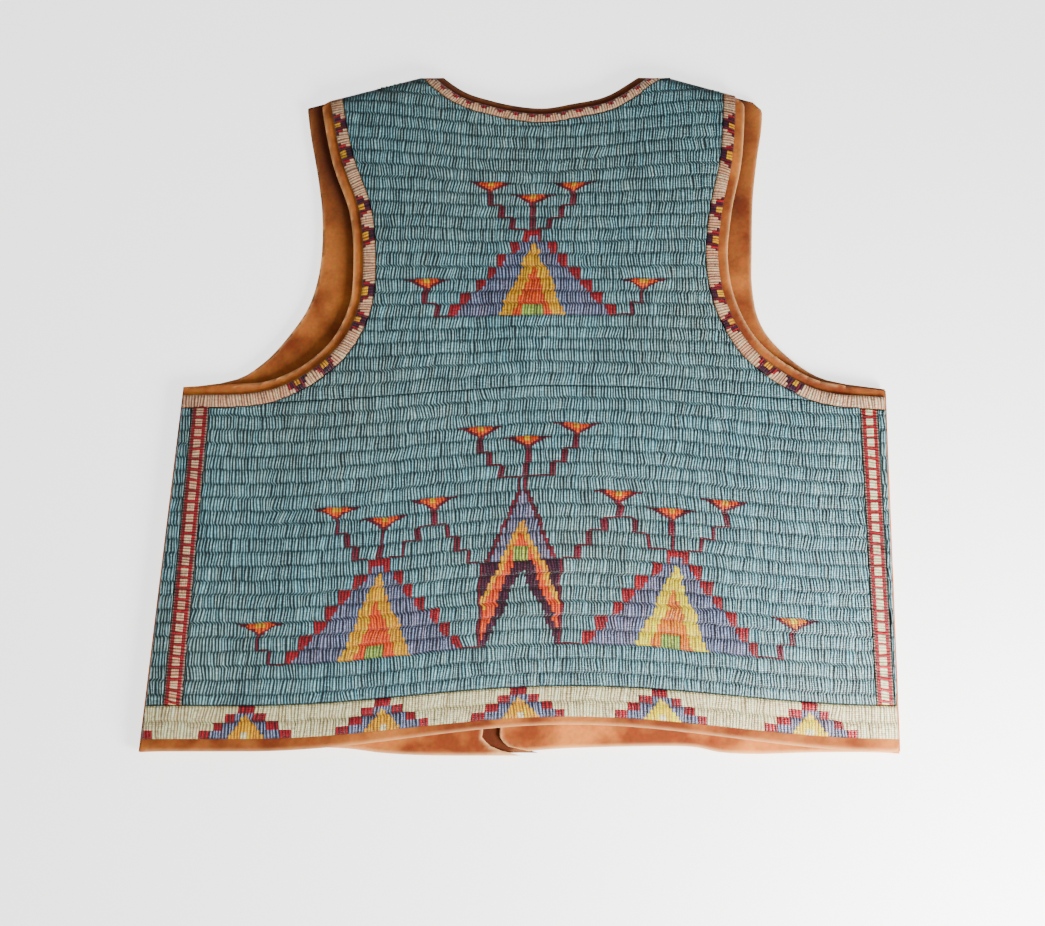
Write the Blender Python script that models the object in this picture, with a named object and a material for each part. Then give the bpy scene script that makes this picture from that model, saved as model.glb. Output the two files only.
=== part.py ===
"""A hide vest covered in lane-stitch beadwork, laid flat with its back up.

Its two fronts lie face down on the surface, side by side, and the back lies on them. Sizes are in millimetres
until a mesh is made. +X is the viewer's right, +Y runs from the hem to the neck, and +Z is up.
"""

import math
from collections import namedtuple

import bmesh
import bpy
from mathutils import Vector

MM = 0.001

# Thickness of the layers, and the gap between pieces that touch
HIDE = 2.0
FRONT_BEADWORK = 2.0
BACK_BEADWORK = 1.5
LANE_RISE = 0.7
GAP = 0.3
FRONT_HIDE_FLOOR = FRONT_BEADWORK + GAP
BACK_HIDE_FLOOR = FRONT_HIDE_FLOOR + HIDE + GAP

# Widths of the sewn-on edgings, and of the bare hide that shows past them
ARMHOLE_EDGING = 9.3
ARMHOLE_MARGIN = 7.2
NECK_EDGING = 7.0
NECK_MARGIN = 5.5
BAND = 12.5
SIDE_SEAM = 1.4
SHOULDER_SEAM = 1.0
FRONT_MARGIN = 8.0
FRONT_BORDER_HEAD = -218.0
FRONT_BORDER_FOOT = -240.0

Line = namedtuple("Line", "start end")

# The seams, each with the vest on its left, and the middle line of each side band, running up
LEFT_SIDE = Line((-243, 5.5), (-256, -248))
RIGHT_SIDE = Line((248, -248), (256, 2))
LEFT_SHOULDER = Line((-83, 249.5), (-163, 226.5))
RIGHT_SHOULDER = Line((181, 228.5), (109, 250.5))
LEFT_BAND = Line((-235, -217), (-229, -10))
RIGHT_BAND = Line((239.5, -217), (242, -13))
NECK_CORNERS = 250.5

# The back hem rises in an arch, right of the middle, and the border follows it
HEM_CORNER = -248.0
HEM_RISE = 17.5
BORDER_FOOT = -240.0
BORDER_FOOT_RISE = 14.5
BORDER_HEAD = -218.0
BORDER_HEAD_RISE = 13.0
HEM_ARCH_MIDDLE = 30.0
HEM_ARCH_REACH = 215.0

# Lanes of the field, counted up from the border, arch low down and sag towards the neck high up
LANES = 48
LOWEST_LANE = -3
FIRST_LANE = -220.9
LANE_PITCH = 9.55
LANE_PITCH_GROWTH = 0.0063
WIDER_LANES_FROM = 20
WIDER_BY = 0.375
LANE_ARCH = 15.0
ARCHED_LANES = (18, 33)
NECK_SAG = 14.0
SAGGING_LANES = (31, 48)
NECK_SAG_MIDDLE = 5.0
NECK_SAG_REACH = 160.0

# Edge of the field at each armhole, across and up, from the shoulder down, and at the neck, left to right
LEFT_ARMHOLE = (
    (-139, 240),
    (-128, 186),
    (-113, 142),
    (-108.5, 100),
    (-111, 62),
    (-126.5, 28),
    (-155, 3),
    (-195, -10),
    (-262, -11),
)
RIGHT_ARMHOLE = (
    (150, 245),
    (145, 186),
    (135.5, 142),
    (131, 100),
    (137, 62),
    (154.5, 28),
    (184, 3),
    (216, -10),
    (268, -13),
)
NECK = ((-95, 268), (-59, 231.5), (-28, 218), (8, 211.5), (36, 215), (74, 226.5), (125, 268))

# Edges of the fronts. They are cut in less at the armholes, so their inside shows past the back.
LEFT_FRONT_ARMHOLE = (
    (-167, 245),
    (-161, 204),
    (-154, 168),
    (-149.5, 135),
    (-149.5, 100),
    (-155, 71.5),
    (-166, 50),
    (-187, 24),
    (-212, 9.5),
    (-262, 5),
)
RIGHT_FRONT_ARMHOLE = (
    (180, 245),
    (178, 212),
    (173, 183),
    (168.5, 150),
    (166, 110),
    (165, 82),
    (168.5, 57),
    (179, 38),
    (200, 18.5),
    (222, 9),
    (268, 3),
)
LEFT_FRONT_HEM = ((-262, -248.5), (-180, -246), (-126, -245.5), (-93, -249), (-59, -250.5), (-4, -250.5))
RIGHT_FRONT_HEM = (
    (2, -247.5),
    (35, -245.5),
    (104, -244.5),
    (130, -248.5),
    (155, -249.5),
    (190, -248.5),
    (233, -248.5),
    (262, -250.5),
)
# From the hem up. The left front's corner reaches under the right front's.
LEFT_FRONT_CORNER = ((-2, -249), (-13, -248.2), (-22, -245.5))
RIGHT_FRONT_CORNER = ((-9, -246.6), (-14, -243))
LEFT_OPENING = ((-29, -239), (-26, -215), (-14, -90), (3, 75))
RIGHT_OPENING = ((-17.5, -238), (-15, -215), (-3, -90), (13, 75))
LEFT_FRONT_NECK = ((3, 75), (-83, 249.5), (-92, 268))
RIGHT_FRONT_NECK = ((13, 75), (109, 250.5), (118, 268))

# How far the back hide stands off the fronts between its seams, and the soft folds that shape it
REST_LIFT = 1.9
MOST_LIFT = 3.6
SEAM_ROLL = 20.0
Fold = namedtuple("Fold", "start end half_width rise")
FOLDS = (
    Fold((-180, -5), (-200, -214), 26, -1.7),
    Fold((-140, 10), (-150, -180), 30, 0.9),
    Fold((-37, 135), (-40, -20), 24, -1.5),
    Fold((50, 95), (42, 20), 24, -1.4),
    Fold((-10, -14), (32, -32), 24, -1.0),
    Fold((4, 60), (2, 25), 20, 1.2),
    Fold((14, -50), (20, -130), 28, 1.3),
    Fold((110, -30), (150, -200), 40, 1.2),
    Fold((-90, 205), (-70, 120), 34, 1.2),
    Fold((115, 210), (95, 120), 34, 1.3),
    Fold((8, 190), (10, 140), 30, -0.6),
)

# The grid behind the draped sheets, closer together towards its ends
SHEET_REACH = 270.0
SHEET_CELLS = 22
EDGE_CROWDING = 0.35
ACROSS_STEPS = 24
CURVE_STEPS = 3
BAND_STEPS = 16
BAND_OVERRUN = 1.2
PRISM_FLOOR = -10.0
PRISM_HEAD = 40.0
ROOM_HEAD = 60.0
WELD = 1e-6

TURQUOISE = (0.105, 0.335, 0.43)
CREAM = (0.83, 0.73, 0.54)
RED = (0.46, 0.012, 0.04)
SUEDE = (0.39, 0.125, 0.022)


def smoothstep(low, high, value):
    share = min(max((value - low) / (high - low), 0.0), 1.0)
    return share * share * (3 - 2 * share)


def arch(x, middle, reach):
    """1 at the middle, easing to 0 at the reach on each side."""
    share = min(abs(x - middle) / reach, 1.0)
    return math.cos(share * math.pi / 2) ** 2


def hem_arch(x):
    return arch(x, HEM_ARCH_MIDDLE, HEM_ARCH_REACH)


def back_hem(x):
    return HEM_CORNER + HEM_RISE * hem_arch(x)


def lane_line(lane, x):
    """Height of the groove below a lane. The border's two lanes are -2 and -1."""
    if lane <= 0:
        foot = BORDER_FOOT + BORDER_FOOT_RISE * hem_arch(x)
        head = BORDER_HEAD + BORDER_HEAD_RISE * hem_arch(x)
        return foot + (lane / 2 + 1) * (head - foot)
    level = FIRST_LANE + LANE_PITCH * lane + LANE_PITCH_GROWTH * lane**2
    level += WIDER_BY * max(0, lane - WIDER_LANES_FROM)
    rise = LANE_ARCH * (1 - smoothstep(*ARCHED_LANES, lane)) * hem_arch(x)
    sag = NECK_SAG * smoothstep(*SAGGING_LANES, lane) * arch(x, NECK_SAG_MIDDLE, NECK_SAG_REACH)
    return level + rise - sag


def smooth_curve(points):
    """Points on the smooth curve through these, by the Catmull-Rom rule."""
    spots = [Vector(point) for point in points]
    spots = [2 * spots[0] - spots[1], *spots, 2 * spots[-1] - spots[-2]]
    curve = []
    for a, b, c, d in zip(spots, spots[1:], spots[2:], spots[3:]):
        for step in range(CURVE_STEPS):
            t = step / CURVE_STEPS
            bend = (2 * a - 5 * b + 4 * c - d) * t**2 + (3 * b - a - 3 * c + d) * t**3
            curve.append(0.5 * (2 * b + (c - a) * t + bend))
    return [*curve, spots[-2]]


def straight(points):
    return [Vector(point) for point in points]


def beside(curve, distance):
    """The curve moved to its left by the distance."""
    moved = []
    for index, spot in enumerate(curve):
        ahead = curve[min(index + 1, len(curve) - 1)] - curve[max(index - 1, 0)]
        moved.append(spot + distance * Vector((-ahead.y, ahead.x)).normalized())
    return moved


def distance_left(line, spot):
    start, end = Vector(line.start), Vector(line.end)
    return (spot - start).dot(Vector((start.y - end.y, end.x - start.x)).normalized())


def clipped(outline, line, inset=0.0):
    """What lies on the left of a line, more than the inset from it."""
    depth = [distance_left(line, spot) - inset for spot in outline]
    kept = []
    for index, spot in enumerate(outline):
        before, here = depth[index - 1], depth[index]
        if before * here < 0:
            kept.append(outline[index - 1].lerp(spot, before / (before - here)))
        if here >= 0:
            kept.append(spot)
    return kept


def turned(line):
    return Line(line.end, line.start)


def level(height):
    return Line((-SHEET_REACH, height), (SHEET_REACH, height))


def within_seams(outline, side_inset=0.0, shoulder_inset=0.0):
    for line in (LEFT_SIDE, RIGHT_SIDE):
        outline = clipped(outline, line, side_inset)
    for line in (LEFT_SHOULDER, RIGHT_SHOULDER, turned(level(NECK_CORNERS))):
        outline = clipped(outline, line, shoulder_inset)
    return outline


def across(start, end, height):
    """Points from left to right along a height that depends on the place across."""
    places = [start + (end - start) * step / ACROSS_STEPS for step in range(ACROSS_STEPS + 1)]
    return [Vector((x, height(x))) for x in places]


def fold_rise(spot):
    total = 0.0
    for fold in FOLDS:
        start = Vector(fold.start)
        along = Vector(fold.end) - start
        share = min(max((spot - start).dot(along) / along.length_squared, 0.0), 1.0)
        away = (spot - start - share * along).length
        total += fold.rise * math.exp(-((away / fold.half_width) ** 2))
    return total


def drape(x, y):
    """Underside of the back hide above the surface that the vest lies on."""
    spot = Vector((x, y))
    lift = min(max(REST_LIFT + fold_rise(spot), 0.0), MOST_LIFT)
    for seam in (LEFT_SIDE, RIGHT_SIDE, LEFT_SHOULDER, RIGHT_SHOULDER):
        lift *= smoothstep(0, SEAM_ROLL, distance_left(seam, spot))
    return BACK_HIDE_FLOOR + lift


def grid_line(index):
    share = 2 * index / SHEET_CELLS - 1
    return SHEET_REACH * ((1 + EDGE_CROWDING) * share - EDGE_CROWDING * share**3)


GRID_LINES = [grid_line(index) for index in range(SHEET_CELLS + 1)]
GRID_HEIGHTS = [[drape(x, y) for x in GRID_LINES] for y in GRID_LINES]


def cell_of(place):
    index = sum(line <= place for line in GRID_LINES) - 1
    index = min(max(index, 0), SHEET_CELLS - 1)
    return index, (place - GRID_LINES[index]) / (GRID_LINES[index + 1] - GRID_LINES[index])


def draped(x, y):
    """The drape as read off the grid, so that every sheet follows the same facets."""
    column, right = cell_of(x)
    row, up = cell_of(y)
    foot = GRID_HEIGHTS[row][column] * (1 - right) + GRID_HEIGHTS[row][column + 1] * right
    head = GRID_HEIGHTS[row + 1][column] * (1 - right) + GRID_HEIGHTS[row + 1][column + 1] * right
    return foot * (1 - up) + head * up


def hide_floor(x, y, *_):
    return draped(x, y)


def hide_head(x, y, *_):
    return draped(x, y) + HIDE


def beadwork_floor(x, y, *_):
    return draped(x, y) + HIDE + GAP


def prism_floor(*_):
    return PRISM_FLOOR


def room_head(*_):
    return ROOM_HEAD


def lane_head(x, y, _column, row):
    return beadwork_floor(x, y) + BACK_BEADWORK + LANE_RISE * (row % 2)


def ribbon_head(x, y, column, _row):
    return beadwork_floor(x, y) + BACK_BEADWORK + LANE_RISE * (column == 1)


def grid_place(column, row):
    return GRID_LINES[column], GRID_LINES[row]


def lane_place(column, row):
    """Rows run along a lane's groove and its crest in turn."""
    x = GRID_LINES[column]
    lane = LOWEST_LANE + row // 2
    groove = lane_line(lane, x)
    return x, groove + (row % 2) / 2 * (lane_line(lane + 1, x) - groove)


def new_collection(name):
    made = bpy.data.collections.new(name)
    bpy.context.scene.collection.children.link(made)
    return made


def principled(name, colour, roughness):
    made = bpy.data.materials.new(name)
    made.use_nodes = True
    shader = made.node_tree.nodes["Principled BSDF"]
    shader.inputs["Base Color"].default_value = (*colour, 1)
    shader.inputs["Roughness"].default_value = roughness
    shader.inputs["Metallic"].default_value = 0
    return made


def new_object(name, mesh, home, material):
    """A piece, or a cutter where there is no material."""
    made = bpy.data.objects.new(name, mesh)
    home.objects.link(made)
    mesh.materials.clear()
    if material:
        mesh.materials.append(material)
    else:
        made.hide_render = True
        made.display_type = "WIRE"
    return made


def prism(name, outline, floor, head, home, material=None):
    """A flat outline with straight walls, from floor to head."""
    curve = bpy.data.curves.new(name + " outline", "CURVE")
    curve.dimensions = "2D"
    curve.fill_mode = "BOTH"
    curve.extrude = (head - floor) / 2 * MM
    spline = curve.splines.new("POLY")
    spline.points.add(len(outline) - 1)
    for point, spot in zip(spline.points, outline):
        point.co = (spot.x * MM, spot.y * MM, 0, 1)
    spline.use_cyclic_u = True
    guide = bpy.data.objects.new(name + " guide", curve)
    home.objects.link(guide)
    guide.location.z = (floor + head) / 2 * MM
    bpy.context.view_layer.update()
    evaluated = guide.evaluated_get(bpy.context.evaluated_depsgraph_get())
    mesh = bpy.data.meshes.new_from_object(evaluated)
    mesh.transform(guide.matrix_world)
    bpy.data.objects.remove(guide)
    shape = bmesh.new()
    shape.from_mesh(mesh)
    bmesh.ops.remove_doubles(shape, verts=shape.verts, dist=WELD)
    bmesh.ops.recalc_face_normals(shape, faces=shape.faces)
    shape.to_mesh(mesh)
    shape.free()
    return new_object(name, mesh, home, material)


def sheet_volume(name, columns, rows, place, floor, head, home, material=None):
    """A closed body over a grid. place(column, row) is across and up there, and floor and head its heights."""
    shape = bmesh.new()
    bmesh.ops.create_grid(shape, x_segments=columns, y_segments=rows, size=1)
    bmesh.ops.triangulate(shape, faces=shape.faces, quad_method="FIXED")
    lower = list(shape.verts)
    grown = bmesh.ops.extrude_face_region(shape, geom=list(shape.faces), use_keep_orig=True)
    upper = [part for part in grown["geom"] if isinstance(part, bmesh.types.BMVert)]
    for vertices, height in ((lower, floor), (upper, head)):
        for vertex in vertices:
            column = round((vertex.co.x + 1) / 2 * columns)
            row = round((vertex.co.y + 1) / 2 * rows)
            x, y = place(column, row)
            vertex.co = Vector((x, y, height(x, y, column, row))) * MM
    bmesh.ops.recalc_face_normals(shape, faces=shape.faces)
    mesh = bpy.data.meshes.new(name)
    shape.to_mesh(mesh)
    shape.free()
    return new_object(name, mesh, home, material)


def keep_common(piece, volumes):
    """Cuts a piece down to what it shares with each volume."""
    for volume in volumes:
        cut = piece.modifiers.new("Within " + volume.name, "BOOLEAN")
        cut.operation = "INTERSECT"
        cut.solver = "EXACT"
        cut.object = volume


def back_hide_outline():
    edge = ARMHOLE_EDGING + ARMHOLE_MARGIN
    outline = [
        *across(LEFT_SIDE.end[0], RIGHT_SIDE.start[0], back_hem),
        *beside(smooth_curve(RIGHT_ARMHOLE), edge)[::-1],
        *beside(smooth_curve(NECK), NECK_EDGING + NECK_MARGIN)[::-1],
        *beside(smooth_curve(LEFT_ARMHOLE), -edge),
    ]
    return within_seams(outline)


def field_outline():
    """All the beadwork inside the edgings: the field, the side bands and the strips outside them."""
    outline = [
        *across(-SHEET_REACH, SHEET_REACH, lambda x: lane_line(0, x) + GAP),
        *smooth_curve(RIGHT_ARMHOLE)[::-1],
        *smooth_curve(NECK)[::-1],
        *smooth_curve(LEFT_ARMHOLE),
    ]
    return within_seams(outline, SIDE_SEAM, SHOULDER_SEAM)


def border_outline():
    outline = [
        *across(-SHEET_REACH, SHEET_REACH, lambda x: lane_line(-2, x)),
        *across(-SHEET_REACH, SHEET_REACH, lambda x: lane_line(0, x))[::-1],
    ]
    return within_seams(outline, SIDE_SEAM, SHOULDER_SEAM)


def edged_outline():
    """The ground that the edgings may cover, as far as the seams."""
    far = SHEET_REACH
    corners = straight(((-far, -far), (far, -far), (far, far), (-far, far)))
    return within_seams(corners, SIDE_SEAM, SHOULDER_SEAM)


def front_outlines():
    """Hide outline of each front, anticlockwise."""
    left = [
        *smooth_curve(LEFT_FRONT_HEM),
        *straight(LEFT_FRONT_CORNER),
        *smooth_curve(LEFT_OPENING),
        *straight(LEFT_FRONT_NECK[1:]),
        *smooth_curve(LEFT_FRONT_ARMHOLE),
    ]
    right = [
        *smooth_curve(RIGHT_FRONT_HEM),
        *smooth_curve(RIGHT_FRONT_ARMHOLE)[::-1],
        *straight(RIGHT_FRONT_NECK[1:])[::-1],
        *smooth_curve(RIGHT_OPENING)[::-1],
        *straight(RIGHT_FRONT_CORNER)[::-1],
    ]
    return {"left": within_seams(left), "right": within_seams(right)}


def front_beadwork_outlines():
    """Beadwork outline of each front, a margin inside its hide, with a straight foot."""
    foot = FRONT_BORDER_FOOT
    left = [
        *straight(((-SHEET_REACH, foot), (LEFT_OPENING[0][0] - FRONT_MARGIN, foot))),
        *beside(smooth_curve(LEFT_OPENING), FRONT_MARGIN)[1:-1],
        *beside(straight(LEFT_FRONT_NECK), FRONT_MARGIN),
        *beside(smooth_curve(LEFT_FRONT_ARMHOLE), FRONT_MARGIN),
    ]
    right = [
        *straight(((RIGHT_OPENING[0][0] + FRONT_MARGIN, foot), (SHEET_REACH, foot))),
        *beside(smooth_curve(RIGHT_FRONT_ARMHOLE), -FRONT_MARGIN)[::-1],
        *beside(straight(RIGHT_FRONT_NECK), -FRONT_MARGIN)[::-1],
        *beside(smooth_curve(RIGHT_OPENING), -FRONT_MARGIN)[1:-1][::-1],
    ]
    return {
        "left": within_seams(left, SIDE_SEAM, SHOULDER_SEAM),
        "right": within_seams(right, SIDE_SEAM, SHOULDER_SEAM),
    }


def make_fronts(home, suede, turquoise, cream):
    for side, outline in front_outlines().items():
        prism(f"front_hide_{side}", outline, FRONT_HIDE_FLOOR, FRONT_HIDE_FLOOR + HIDE, home, suede)
    for side, outline in front_beadwork_outlines().items():
        field = clipped(outline, level(FRONT_BORDER_HEAD), GAP)
        border = clipped(outline, turned(level(FRONT_BORDER_HEAD)))
        prism(f"front_beadwork_{side}", field, 0, FRONT_BEADWORK, home, turquoise)
        prism(f"front_hem_border_{side}", border, 0, FRONT_BEADWORK, home, cream)


def make_back_hide(home, cutters, suede):
    sheet = sheet_volume(
        "back hide sheet", SHEET_CELLS, SHEET_CELLS, grid_place, hide_floor, hide_head, cutters
    )
    keep_common(prism("back_hide", back_hide_outline(), PRISM_FLOOR, PRISM_HEAD, home, suede), [sheet])


def make_back_lanes(home, cutters, above_hide, turquoise, cream):
    """The pieces worked in lanes that run across: the field, the strips outside the bands and the border."""
    rows = 2 * (LANES - LOWEST_LANE)
    lanes = sheet_volume("lanes", SHEET_CELLS, rows, lane_place, prism_floor, lane_head, cutters)
    whole = field_outline()
    beyond_band = BAND / 2 + GAP
    inside_left = clipped(whole, turned(LEFT_BAND), beyond_band)
    pieces = (
        ("back_beadwork", clipped(inside_left, RIGHT_BAND, beyond_band), turquoise),
        ("back_side_strip_left", clipped(whole, LEFT_BAND, beyond_band), turquoise),
        ("back_side_strip_right", clipped(whole, turned(RIGHT_BAND), beyond_band), turquoise),
        ("back_hem_border", border_outline(), cream),
    )
    for name, outline, material in pieces:
        keep_common(prism(name, outline, PRISM_FLOOR, PRISM_HEAD, home, material), [lanes, above_hide])


def ribbon(name, curve, near, far, rooms, home, material):
    """An edging between two distances to the left of a curve, highest along its middle."""
    inner, outer = beside(curve, near), beside(curve, far)

    def place(column, row):
        return inner[row].lerp(outer[row], column / 2)

    made = sheet_volume(name, 2, len(curve) - 1, place, prism_floor, ribbon_head, home, material)
    keep_common(made, rooms)


def band_stations(band):
    """Places up a band's middle line, past both of its ends."""
    start, end = Vector(band.start), Vector(band.end)
    return [
        start.lerp(end, 0.5 + BAND_OVERRUN * (step / BAND_STEPS - 0.5)) for step in range(BAND_STEPS + 1)
    ]


def make_back_ribbons(home, cutters, above_hide, cream, red):
    beaded = prism("beaded ground", field_outline(), PRISM_FLOOR, PRISM_HEAD, cutters)
    edged = prism("edged ground", edged_outline(), PRISM_FLOOR, PRISM_HEAD, cutters)
    for side, band in (("left", LEFT_BAND), ("right", RIGHT_BAND)):
        stations = band_stations(band)
        ribbon(f"back_band_{side}", stations, -BAND / 2, BAND / 2, [beaded, above_hide], home, red)
    edgings = (
        ("armhole_edging_left", LEFT_ARMHOLE, -GAP, -ARMHOLE_EDGING),
        ("armhole_edging_right", RIGHT_ARMHOLE, GAP, ARMHOLE_EDGING),
        ("neck_edging", NECK, GAP, NECK_EDGING),
    )
    for name, table, near, far in edgings:
        ribbon(name, smooth_curve(table), near, far, [edged, above_hide], home, cream)


def main():
    for thing in list(bpy.data.objects):
        bpy.data.objects.remove(thing, do_unlink=True)
    home = new_collection("Beaded vest")
    cutters = new_collection("Cutters")
    suede = principled("Suede", SUEDE, 0.95)
    turquoise = principled("Turquoise beads", TURQUOISE, 0.35)
    cream = principled("Cream beads", CREAM, 0.35)
    red = principled("Red beads", RED, 0.3)
    above_hide = sheet_volume(
        "above back hide", SHEET_CELLS, SHEET_CELLS, grid_place, beadwork_floor, room_head, cutters
    )
    make_fronts(home, suede, turquoise, cream)
    make_back_hide(home, cutters, suede)
    make_back_lanes(home, cutters, above_hide, turquoise, cream)
    make_back_ribbons(home, cutters, above_hide, cream, red)


main()
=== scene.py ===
import math
import bpy
import numpy as np
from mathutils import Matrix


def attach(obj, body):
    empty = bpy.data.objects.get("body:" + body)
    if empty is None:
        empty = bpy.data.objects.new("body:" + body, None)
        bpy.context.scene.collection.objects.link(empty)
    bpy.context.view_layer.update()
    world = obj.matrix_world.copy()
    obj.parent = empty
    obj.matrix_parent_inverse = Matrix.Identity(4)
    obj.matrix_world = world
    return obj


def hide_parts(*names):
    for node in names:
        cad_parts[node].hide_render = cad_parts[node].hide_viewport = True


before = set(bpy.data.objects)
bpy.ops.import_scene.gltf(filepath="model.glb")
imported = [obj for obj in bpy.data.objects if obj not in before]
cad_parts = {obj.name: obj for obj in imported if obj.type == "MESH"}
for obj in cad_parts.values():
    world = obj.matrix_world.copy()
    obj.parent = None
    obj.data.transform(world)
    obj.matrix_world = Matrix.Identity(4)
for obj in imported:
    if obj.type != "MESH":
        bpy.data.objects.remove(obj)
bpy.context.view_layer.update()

# A hide vest covered in lane-stitch beadwork, laid flat with its back up. Sizes are in millimetres until a
# mesh is made. +X is the viewer's right, +Y runs from the hem to the neck, and +Z is up.
MM = 0.001
# Layers from the surface up: the fronts' beads, the fronts' hides, the back's hide and its beads
HIDE = 2.0
GAP = 0.3
FRONT_BEADS = 2.0
BACK_BEADS = 2.2
FRONT_HIDE_FLOOR = FRONT_BEADS + GAP
BACK_HIDE_FLOOR = FRONT_HIDE_FLOOR + HIDE + GAP

# Widths of the edgings sewn on, and of the bare hide past them
ARMHOLE_EDGING = 9.3
ARMHOLE_MARGIN = 7.2
NECK_EDGING = 7.0
NECK_MARGIN = 5.5
BAND = 12.5
SIDE_SEAM = 1.4
SHOULDER_SEAM = 1.0
FRONT_MARGIN = 8.0
FRONT_BORDER_HEAD = -218.0
FRONT_BORDER_FOOT = -240.0
# The strip of hide behind the fronts' opening: how far it goes under each front, its foot, length and layer
UNDERLAP = 6.5
UNDERLAP_FOOT = -248.6
UNDERLAP_LENGTH = 323
UNDERLAP_FLOOR = 0.9
UNDERLAP_HIDE = 1.2

# Seams and the middle lines of the side bands, each a straight line between two places
LEFT_SIDE = ((-243, 5.5), (-256, -248))
RIGHT_SIDE = ((256, 2), (248, -248))
LEFT_SHOULDER = ((-83, 249.5), (-163, 226.5))
RIGHT_SHOULDER = ((181, 228.5), (109, 250.5))
SEAMS = (LEFT_SIDE, RIGHT_SIDE, LEFT_SHOULDER, RIGHT_SHOULDER)
LEFT_BAND = ((-235, -217), (-229, -10))
RIGHT_BAND = ((239.5, -217), (242, -13))
# Heights of the corners at the neck, and of those where the armholes meet the shoulders
NECK_CORNERS = 250.5
FIELD_CORNERS = {"left": 232.0, "right": 236.0}
BACK_CORNERS = {"left": 230.6, "right": 232.6}
FRONT_CORNERS = {"left": 230.6, "right": 228.8}
FRONT_BEADS_CORNER = 228.0
CORNER_ROUND = 7.0
NECK_FOOT = 75
# Hide panels are worked out to this height and this far across, and then cut
PANEL_HEAD = 252.0
PANEL_REACH = 257
BORDER_REACH = 256.2

# The hem arches right of the middle, and the lanes of beads above it follow
HEM_CORNER = -248.0
HEM_RISE = 17.5
BORDER_FOOT = -240.0
BORDER_FOOT_RISE = 14.5
BORDER_HEAD = -218.0
BORDER_HEAD_RISE = 13.0
HEM_ARCH = (30.0, 215.0)
LANES = 48
FRONT_LANES = 49
STRIP_LANES = 23
SPLIT_LANE = 22
FIRST_LANE = -220.9
LANE_PITCH = 9.55
LANE_PITCH_GROWTH = 0.0063
WIDER_LANES_FROM = 20
WIDER_BY = 0.375
LANE_ARCH = 15.0
ARCHED_LANES = (18, 33)
NECK_SAG = 14.0
SAGGING_LANES = (31, 48)
NECK_SAG_ARCH = (5.0, 160.0)

# Edges of the field of beads at the armholes and the neck, and edges of the fronts
LEFT_ARMHOLE = (
    (-139, 240), (-128, 186), (-113, 142), (-108.5, 100), (-111, 62),
    (-126.5, 28), (-155, 3), (-195, -10), (-262, -11),
)
RIGHT_ARMHOLE = (
    (150, 245), (145, 186), (135.5, 142), (131, 100), (137, 62),
    (154.5, 28), (184, 3), (216, -10), (268, -13),
)
NECK = ((-95, 268), (-59, 231.5), (-28, 218), (8, 211.5), (36, 215), (74, 226.5), (125, 268))
LEFT_FRONT_ARMHOLE = (
    (-167, 245), (-161, 204), (-154, 168), (-149.5, 135), (-149.5, 100),
    (-155, 71.5), (-166, 50), (-187, 24), (-212, 9.5), (-262, 5),
)
RIGHT_FRONT_ARMHOLE = (
    (180, 245), (178, 212), (173, 183), (168.5, 150), (166, 110), (165, 82),
    (168.5, 57), (179, 38), (200, 18.5), (222, 9), (268, 3),
)
LEFT_FRONT_HEM = ((-262, -248.5), (-180, -246), (-126, -245.5), (-93, -249), (-59, -250.5), (-4, -250.5))
RIGHT_FRONT_HEM = (
    (2, -247.5), (35, -245.5), (104, -244.5), (130, -248.5),
    (155, -249.5), (190, -248.5), (233, -248.5), (262, -250.5),
)
LEFT_FRONT_EDGE = (
    (-2, -249), (-13, -248.2), (-22, -245.5), (-29, -239), (-26, -215), (-14, -90), (3, 75), (-83, 249.5),
)
RIGHT_FRONT_EDGE = (
    (2, -247.5), (-9, -246.6), (-14, -243), (-17.5, -238), (-15, -215), (-3, -90), (13, 75), (109, 250.5),
)

# The back lies this far above the fronts, at most so far, and comes down to them near its seams
REST_LIFT = 1.9
MOST_LIFT = 3.6
SEAM_ROLL = 20.0
# Soft folds in the back, as start, end, half width and rise
FOLDS = (
    ((-180, -5), (-200, -214), 26, -1.7),
    ((-140, 10), (-150, -180), 30, 0.9),
    ((-37, 135), (-40, -20), 24, -1.5),
    ((50, 95), (42, 20), 24, -1.4),
    ((-10, -14), (32, -32), 24, -1.0),
    ((4, 60), (2, 25), 20, 1.2),
    ((14, -50), (20, -130), 28, 1.3),
    ((110, -30), (150, -200), 40, 1.2),
    ((-90, 205), (-70, 120), 34, 1.2),
    ((115, 210), (95, 120), 34, 1.3),
    ((8, 190), (10, 140), 30, -0.6),
)

# Beads: a lane is eight beads wide, and a row of them is sewn across it every 2.1 mm. Bands differ.
BEADS = 8
ROW = 2.1
BAND_BEADS = 10
BAND_ROW = 1.9
# The grid under a lane is cut in square blocks, a bead or half a row to each cell
BLOCK = BEADS / 2 * ROW
# Heights above the hide of the groove between lanes and of a piece's edge, the share of a row's height that
# the gap beside it takes off, and how uneven rows are
LANE_GROOVE = 1.35
EDGE_HEIGHT = 1.1
ROW_GROOVE = 0.55
ROW_UNEVEN = 0.15
# How far a row strays, leans and bows in millimetres, and how far a groove wavers as a share of a lane
STRAY = 0.2
LEAN = 0.4
SLOW_LEAN = 0.9
QUICK_LEAN = 0.35
BOW = 0.2
WAVER = 0.03
# Painted shade, as the share of light left in the beads' colour: between two rows, at their ends, in the
# grooves between lanes, on walls and where the shoulders roll
VALLEY_LIGHT = 0.38
ROW_END_SHADE = 0.14
GROOVE_LIGHT = 0.6
GROOVE_UNEVEN = 0.3
WALL_LIGHT = 0.3
SHOULDER_LIGHT = 0.45
SHOULDER_ROLL = 9
# Spread of brightness by row and by bead, and of tint by row and by lot, with less of it in cream beads
ROW_SPREAD = 0.12
BEAD_SPREAD = 0.13
TINT_SPREAD = 0.04
LOT_TINT = 0.07
CREAM_TINT = 0.3
TINT = np.array((-1.6, 0, 0.6))

# LIT_YELLOW and LIT_ORANGE are painted light: lighter copies of yellow and orange for where the light falls
# brighter
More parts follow.
